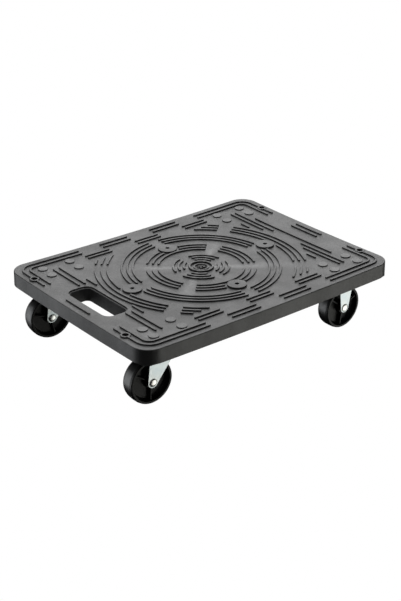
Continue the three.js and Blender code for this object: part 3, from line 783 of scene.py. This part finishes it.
def wheel_body(bm):
    """A web with a hub, a rim and a crowned tread."""
    half = filleted([
        (WHEEL_BORE, 0, 0),
        (WHEEL_BORE, -HUB_FACE, 0.3),
        (8.9, -HUB_FACE, 0.5),
        (9.3, -WEB_HALF, 1.2),
        (WHEEL_RADIUS - 6.9, -WEB_HALF, 1.6),
        (WHEEL_RADIUS - 4.5, -WHEEL_HALF, 0.4),
        (WHEEL_RADIUS - 1.2, -WHEEL_HALF, 1.1),
        (WHEEL_RADIUS - 0.25, -6.4, 2.6),
        (WHEEL_RADIUS, 0, 0),
    ])
    # The first corner only serves the rounding of the second.
    lower = [(point.x, point.y) for point in half[1:]]
    upper = [(radius, -height) for radius, height in reversed(lower[:-1])]
    turned(bm, lower + upper, 96)


def wheel_ribs(bm):
    """Three thin radial ribs, which stand out of the web on both faces."""
    half, face, edge = 1.0, WHEEL_HALF - 1.7, 0.35
    for turn in (0, 120, 240):
        vertices = []
        outline = [(half - edge, -face), (half, -face + edge), (half, face - edge), (half - edge, face),
                   (-half + edge, face), (-half, face - edge), (-half, -face + edge), (-half + edge, -face)]
        for reach in (8, 27):
            vertices.append([bm.verts.new((x, -reach, z)) for x, z in outline])
        bridge(bm, vertices[0], vertices[1])
        bm.faces.new(vertices[0][::-1])
        bm.faces.new(vertices[1])
        spun = Matrix.Rotation(math.radians(turn), 3, "Z")
        bmesh.ops.rotate(bm, verts=vertices[0] + vertices[1], matrix=spun)


def build_wheel(name, body, place):
    made = solid(wheel_body)
    combined(made, "UNION", solid(wheel_ribs))
    on_tread = [face.center.xy.length > WHEEL_RADIUS - TREAD_DEPTH for face in made.data.polygons]
    rolled = Matrix.Rotation(math.radians(WHEEL_ROLL[name]), 4, "Z")
    piece(f"{name}_wheel_moulding", made, WHEEL_PLASTIC, body,
          [f"{name}_wheel"], place @ LAY_ALONG_Y @ rolled)
    made.data.materials.append(TREAD_PLASTIC)
    made.data.polygons.foreach_set("material_index", [int(tread) for tread in on_tread])


def build_axle(name, body, place):
    """The rivet that the wheel turns on, with a broad domed head over each leg."""
    seat = LEG_OUTER - DIMPLE_DEPTH
    half = [(0, -seat - RIVET_DOME)]
    steps = 8
    for step in range(1, steps + 1):
        turn = math.pi / 2 * step / steps
        rise = RIVET_RIM + (RIVET_DOME - RIVET_RIM) * math.cos(turn)
        half.append((RIVET_RADIUS * math.sin(turn), -seat - rise))
    half += [(RIVET_RADIUS, -seat), (AXLE_RADIUS, -seat)]
    made = solid(lambda bm: turned(bm, mirrored(half), 40))
    piece(f"{name}_axle_rivet", made, RIVET, body, [f"{name}_axle"], place @ LAY_ALONG_Y)
    ring = mirrored([(3.2, -BUSH_FACE), (4.2, -BUSH_FACE), (4.5, 0.3 - BUSH_FACE)])
    bush = solid(lambda bm: turned(bm, ring, 40))
    piece(f"{name}_axle_bush", bush, BEARING, body, [f"{name}_bush"], place @ LAY_ALONG_Y)


def channel(bm, top, low, low_x, high_x):
    """A sheet folded down at both sides, open below."""
    inner = LEG_OUTER - SHEET
    section = filleted([
        (-LEG_OUTER, low, 0),
        (-inner, low, 0),
        (-inner, top - SHEET, LEG_BEND - SHEET),
        (inner, top - SHEET, LEG_BEND - SHEET),
        (inner, low, 0),
        (LEG_OUTER, low, 0),
        (LEG_OUTER, top, LEG_BEND),
        (-LEG_OUTER, top, LEG_BEND),
    ], 6)
    rings = [[bm.verts.new((x, point.x, point.y)) for point in section] for x in (low_x, high_x)]
    bridge(bm, rings[0], rings[1])
    bm.faces.new(rings[0][::-1])
    bm.faces.new(rings[1])


def side_profile(bm, outline):
    """A slab through both legs, of the (x, z) outline seen from the side."""
    reach = LEG_OUTER + 2
    rings = [[bm.verts.new((x, y, z)) for x, z in outline] for y in (-reach, reach)]
    bridge(bm, rings[0], rings[1])
    bm.faces.new(rings[0][::-1])
    bm.faces.new(rings[1])


def tip_arc(axle_x, start, end, steps=16):
    """The round lower end of a leg, between two directions in degrees."""
    turns = [math.radians(start + (end - start) * step / steps) for step in range(steps + 1)]
    return [(axle_x + TIP_RADIUS * math.cos(turn), AXLE_HEIGHT + TIP_RADIUS * math.sin(turn))
            for turn in turns]


def dimples(made, axle_x):
    """Presses a round dimple into each leg, and leaves the hole for the axle."""
    outer, inner = LEG_OUTER, LEG_OUTER - SHEET
    turned_over = [Matrix.Translation((axle_x, 0, AXLE_HEIGHT)) @ Matrix.Rotation(math.radians(turn), 4, "X")
                   for turn in (90, -90)]

    def both(profile):
        def build(bm):
            for place in turned_over:
                bmesh.ops.transform(bm, matrix=place, verts=turned(bm, profile, 48))
        return solid(build)

    back, floor = inner - DIMPLE_DEPTH, outer - DIMPLE_DEPTH
    bump = [(0, back), (DIMPLE_RADIUS - 0.2, back), (DIMPLE_RADIUS + 0.5, back + 0.4),
            (DIMPLE_RADIUS + 0.9, inner + 0.3), (0, inner + 0.3)]
    seat = [(0, floor), (DIMPLE_RADIUS - 0.5, floor), (DIMPLE_RADIUS - 0.1, floor + 0.2),
            (DIMPLE_RADIUS + 0.15, outer - 0.3), (DIMPLE_RADIUS + 0.5, outer),
            (DIMPLE_RADIUS + 0.5, outer + 1), (0, outer + 1)]
    combined(made, "UNION", both(bump))
    combined(made, "DIFFERENCE", both(seat))
    combined(made, "DIFFERENCE", both(cylinder(AXLE_RADIUS + 0.1, inner - 3, outer + 1)))


def curve(start, steer, end, steps=14):
    """Points on a quadratic curve, after its start."""
    points = []
    for step in range(1, steps + 1):
        t = step / steps
        terms = zip(start, steer, end)
        points.append(tuple((1 - t) ** 2 * a + 2 * t * (1 - t) * b + t ** 2 * c for a, b, c in terms))
    return points


def build_fork(name, body, place):
    """The swivel caster's fork: a yoke with a raised dish for the ball races, and two swept legs."""
    axle_x = -TRAIL
    rear, front = axle_x - 3.4, 14.2
    tip_end = -39
    tip = tip_arc(axle_x, -180, tip_end)
    sweep = curve(tip[-1], (axle_x + 16, AXLE_HEIGHT + 10), (front, YOKE_TOP))
    outline = [(rear, YOKE_TOP + 1), *tip, *sweep, (front, YOKE_TOP + 1)]
    made = solid(lambda bm: channel(bm, YOKE_TOP, AXLE_HEIGHT - TIP_RADIUS - 2, axle_x - 12, 18))
    combined(made, "INTERSECT", solid(lambda bm: side_profile(bm, outline)))
    under = YOKE_TOP - SHEET
    top = YOKE_TOP + DISH_RISE
    dish = [(0, under), (DISH_RADIUS - 0.2, under), (DISH_RADIUS, under + 0.2),
            (DISH_RADIUS, YOKE_TOP - 0.4), (DISH_RADIUS - 0.5, YOKE_TOP),
            (DISH_RADIUS - 1.6, YOKE_TOP + 0.3), (DISH_RADIUS - 2.8, top - 0.3), (DISH_RADIUS - 3.6, top),
            (13.4, top), (12.6, top - 0.3), (11.8, top), (0, top)]
    combined(made, "UNION", solid(lambda bm: turned(bm, dish, 72)))
    hollow = cylinder(DISH_RADIUS - 3, under - 1, top - SHEET, DISH_RADIUS - 3.6)
    combined(made, "DIFFERENCE", solid(lambda bm: turned(bm, hollow, 72)))
    dimples(made, axle_x)
    hole = cylinder(PIN_HOLE, under - 2, top + 1)
    combined(made, "DIFFERENCE", solid(lambda bm: turned(bm, hole, 40)))
    piece(f"{name}_fork_pressing", made, ZINC, body, [f"{name}_fork"], place)


def plate_slab(bm):
    edge = 0.35
    insets = [(edge, PLATE_UNDERSIDE), (0, PLATE_UNDERSIDE + edge),
              (0, BOSS_BOTTOM - edge), (edge, BOSS_BOTTOM)]
    levels = []
    for inset, height in insets:
        outline = rectangle(PLATE_LENGTH - 2 * inset, PLATE_WIDTH - 2 * inset, PLATE_CORNER - inset)
        levels.append((outline, height))
    lofted(bm, levels)


def screw_holes(bm):
    hole = cylinder(PLATE_HOLE, PLATE_UNDERSIDE - 1, BOSS_BOTTOM + 1)
    for x, y in SIGN_PAIRS:
        turned(bm, hole, 24, SCREW_X * x, SCREW_Y * y)


def build_bracket(name, body, place):
    """The fixed caster's bracket: one sheet, whose legs fold down out of notches in the plate."""
    rear, front = LEAD - 13, LEAD + 17.6
    outline = [(rear, BOSS_BOTTOM + 1), *tip_arc(LEAD, -180, 0), (front, BOSS_BOTTOM + 1)]
    made = solid(lambda bm: channel(bm, BOSS_BOTTOM, AXLE_HEIGHT - TIP_RADIUS - 2, -20, 22))
    combined(made, "INTERSECT", solid(lambda bm: side_profile(bm, outline)))

    def notches(bm):
        for sign in (1, -1):
            near, far = sorted((sign * (LEG_OUTER - LEG_BEND), sign * (PLATE_WIDTH / 2 + 1)))
            block(bm, (rear - 0.8, near, PLATE_UNDERSIDE - 1), (front + 0.8, far, BOSS_BOTTOM + 1))

    slab = combined(solid(plate_slab), "DIFFERENCE", solid(notches))
    combined(made, "UNION", slab)
    combined(made, "DIFFERENCE", solid(screw_holes))
    dimples(made, LEAD)
    piece(f"{name}_bracket_pressing", made, ZINC, body, [f"{name}_bracket"], place)


def build_top_plate(name, place):
    """The swivel caster's plate, its round middle pressed down into a ball race."""
    low = PLATE_UNDERSIDE - 3
    made = solid(plate_slab)
    cup = filleted([(0, low, 0), (15.2, low, 1), (17.4, PLATE_UNDERSIDE, 1), (18.4, PLATE_UNDERSIDE + 0.4, 0),
                    (18.4, BOSS_BOTTOM - 0.4, 0), (0, BOSS_BOTTOM - 0.4, 0)], 4)
    combined(made, "UNION", solid(lambda bm: turned(bm, [(p.x, p.y) for p in cup], 72)))
    hollow = [(0, low + PLATE), (13.4, low + PLATE), (15.4, BOSS_BOTTOM - 0.4), (15.8, BOSS_BOTTOM + 1),
              (0, BOSS_BOTTOM + 1)]
    combined(made, "DIFFERENCE", solid(lambda bm: turned(bm, hollow, 72)))
    combined(made, "DIFFERENCE", solid(screw_holes))
    hole = cylinder(PIN_HOLE, low - 1, BOSS_BOTTOM + 1)
    combined(made, "DIFFERENCE", solid(lambda bm: turned(bm, hole, 40)))
    nodes = [f"{name}_top_plate"]
    piece(f"{name}_top_plate_pressing", made, ZINC, "chassis", nodes, place)


def balls(bm, count, radius, pitch, height):
    for index in range(count):
        turn = math.tau * (index + 0.5) / count
        middle = Matrix.Translation((pitch * math.cos(turn), pitch * math.sin(turn), height))
        bmesh.ops.create_icosphere(bm, subdivisions=3, radius=radius, matrix=middle)


def build_swivel_bearing(name, fork_body, place):
    """The kingpin rivet, the cup under the yoke and the two rings of balls."""
    race_heights = {"upper_balls": YOKE_TOP + 3.75, "lower_balls": YOKE_TOP - 1.8}
    seat, head = YOKE_TOP - 4.7, YOKE_TOP + 8
    pin = [(0, seat - 2), (3.6, seat - 2), (5.6, seat - 1.5), (6.4, seat - 0.6), (6.4, seat), (4, seat),
           (4, head), (6.4, head), (6.2, head + 1), (5, head + 1.8), (0, head + 2)]
    made = solid(lambda bm: turned(bm, pin, 48))
    piece(f"{name}_kingpin_rivet", made, RIVET, "chassis", [f"{name}_kingpin"], place)
    lip = seat + 2.6
    cup = filleted([(PIN_HOLE, seat, 0), (10.2, seat, 1.0), (10.2, lip, 0.4), (9, lip, 0.4),
                    (8.8, seat + 1.4, 0.6), (PIN_HOLE, seat + 1.4, 0)])
    made = solid(lambda bm: turned(bm, [(p.x, p.y) for p in cup], 60))
    piece(f"{name}_race_cup_pressing", made, ZINC, "chassis", [f"{name}_race_cup"], place)
    for ring, (count, ball, pitch) in BALL_RINGS.items():
        made = solid(lambda bm: balls(bm, count, ball, pitch, race_heights[ring]))
        nodes = [f"{name}_{ring}"]
        piece(f"{name}_{ring}_set", made, BEARING, fork_body, nodes, place, 80)


def build_screws(name, place):
    """Pan-head screws with a cross recess, up through the plate into the deck's bosses."""
    seat = PLATE_UNDERSIDE
    head = seat - 2.4
    outline = filleted([(0, head, 0), (2.6, head, 0.8), (3.9, head + 1.2, 0.6), (3.9, seat, 0),
                        (2.1, seat, 0), (2.1, seat + 12, 0), (0, seat + 13.8, 0)])
    profile = [(point.x, point.y) for point in outline]
    arm, half_width = 2.0, 0.45         # of the cross recess in the head
    low, high = head - 1, head + 1.3

    def groove(x, y):
        return solid(lambda bm: block(bm, (-x, -y, low), (x, y, high)))

    for index, (x, y) in enumerate(SIGN_PAIRS, start=1):
        made = solid(lambda bm: turned(bm, profile, 32))
        recess = combined(groove(arm, half_width), "UNION", groove(half_width, arm))
        combined(made, "DIFFERENCE", recess)
        turn = Matrix.Rotation(math.radians(35 * index + 10), 4, "Z")
        spot = place @ Matrix.Translation((SCREW_X * x, SCREW_Y * y, 0)) @ turn
        nodes = [f"{name}_screw_{index}"]
        piece(f"{name}_screw_{index}_pan_head", made, SCREW, "chassis", nodes, spot)


def at(point, yaw=0.0):
    """Where something built about its own centre line goes, in millimetres."""
    return Matrix.Translation(point) @ Matrix.Rotation(yaw, 4, "Z")


def build_swivel_caster(side):
    name, fork_body = f"swivel_{side}", f"swivel_fork_{side}"
    turn = JOINTS[f"swivel_turn_{side}"]
    spin = JOINTS[f"swivel_wheel_spin_{side}"]
    centre = (turn["pos_m"][0] / MM, turn["pos_m"][1] / MM, 0)
    yaw = math.atan2(-spin["axis"][0], spin["axis"][1])
    build_top_plate(name, at(centre))
    build_screws(name, at(centre))
    build_swivel_bearing(name, fork_body, at(centre))
    build_fork(name, fork_body, at(centre, yaw))
    hub = at([value / MM for value in spin["pos_m"]], yaw)
    build_axle(name, fork_body, hub)
    build_wheel(name, f"swivel_wheel_{side}", hub)


def build_fixed_caster(side):
    name = f"fixed_{side}"
    hub = [value / MM for value in JOINTS[f"fixed_wheel_spin_{side}"]["pos_m"]]
    centre = (hub[0] - LEAD, hub[1], 0)
    build_bracket(name, "chassis", at(centre))
    build_screws(name, at(centre))
    build_axle(name, "chassis", at(hub))
    build_wheel(name, f"fixed_wheel_{side}", at(hub))


# ---------------------------------------------------------------------------------------
# Camera, floor and light
# ---------------------------------------------------------------------------------------

def make_camera():
    azimuth, elevation, distance = math.radians(-39.04), math.radians(26.154), 1.652
    target = Vector((-0.0717, -0.0869, 0.1))
    back = Vector((math.sin(azimuth) * math.cos(elevation), -math.cos(azimuth) * math.cos(elevation),
                   math.sin(elevation)))
    data = bpy.data.cameras.new("camera")
    data.sensor_width = 36
    data.lens = 72.9
    camera = bpy.data.objects.new("camera", data)
    camera.location = target + back * distance
    camera.rotation_mode = "QUATERNION"
    camera.rotation_quaternion = (-back).to_track_quat("-Z", "Y")
    bpy.context.scene.collection.objects.link(camera)
    bpy.context.scene.camera = camera


def make_floor():
    """A plain white floor that shines evenly, so that it takes no shadow and gives no light."""
    reach = 12
    bm = bmesh.new()
    corners = [bm.verts.new((x * reach, y * reach, 0)) for x, y in SIGN_PAIRS]
    bm.faces.new(corners)
    mesh = bpy.data.meshes.new("floor")
    bm.to_mesh(mesh)
    bm.free()
    floor = bpy.data.objects.new("floor", mesh)
    bpy.context.scene.collection.objects.link(floor)
    material = bpy.data.materials.new("white_floor")
    material.use_nodes = True
    shader = material.node_tree.nodes["Principled BSDF"]
    shader.inputs["Base Color"].default_value = (0, 0, 0, 1)
    shader.inputs["Specular IOR Level"].default_value = 0
    shader.inputs["Emission Color"].default_value = (1, 1, 1, 1)
    shader.inputs["Emission Strength"].default_value = 1
    mesh.materials.append(material)
    floor.visible_diffuse = False
    floor.visible_glossy = False
    floor.visible_shadow = False


def soft_box(name, direction, distance, size, brightness, colour=(1, 1, 1)):
    """A soft rectangular light that faces the object from a direction."""
    width, height = size
    data = bpy.data.lights.new(name, "AREA")
    data.shape = "RECTANGLE"
    data.size, data.size_y = width, height
    data.energy = brightness * math.pi * width * height
    data.color = colour
    lamp = bpy.data.objects.new(name, data)
    direction = Vector(direction).normalized()
    lamp.location = direction * distance
    lamp.rotation_mode = "QUATERNION"
    lamp.rotation_quaternion = (-direction).to_track_quat("-Z", "Y")
    lamp.visible_camera = False
    bpy.context.scene.collection.objects.link(lamp)


def make_light():
    """A studio lit by soft boxes alone. The world is a white backdrop that gives no light."""
    world = bpy.data.worlds.new("studio")
    bpy.context.scene.world = world
    world.use_nodes = True
    background = world.node_tree.nodes["Background"]
    background.inputs["Color"].default_value = (1, 1, 1, 1)
    background.inputs["Strength"].default_value = 1
    world.cycles_visibility.diffuse = False
    world.cycles_visibility.glossy = False
    soft_box("overhead", (0.1, 0.25, 1), 2.2, (2.4, 2.4), 3.2)
    soft_box("behind", (0.63, 0.64, 0.441), 2.4, (2.3, 1.6), 2.5)
    soft_box("left", (-0.72, 0.66, -0.1), 2.0, (1.6, 1.5), 2.15, (0.96, 0.98, 1.0))
    soft_box("right", (0.62, -0.66, -0.4), 2.2, (2.1, 1.4), 2.1, (1.0, 1.0, 0.95))
    soft_box("near", (-0.6, -0.7, 0.5), 3.0, (2.0, 2.0), 0.6)
    soft_box("low behind", (0.7, 0.7, -0.25), 2.4, (2.2, 1.6), 1.2)


scene = bpy.context.scene
scene.view_settings.view_transform = "Standard"
make_camera()
make_floor()
make_light()
build_deck()
for side in SIDES:
    build_swivel_caster(side)
    build_fixed_caster(side)
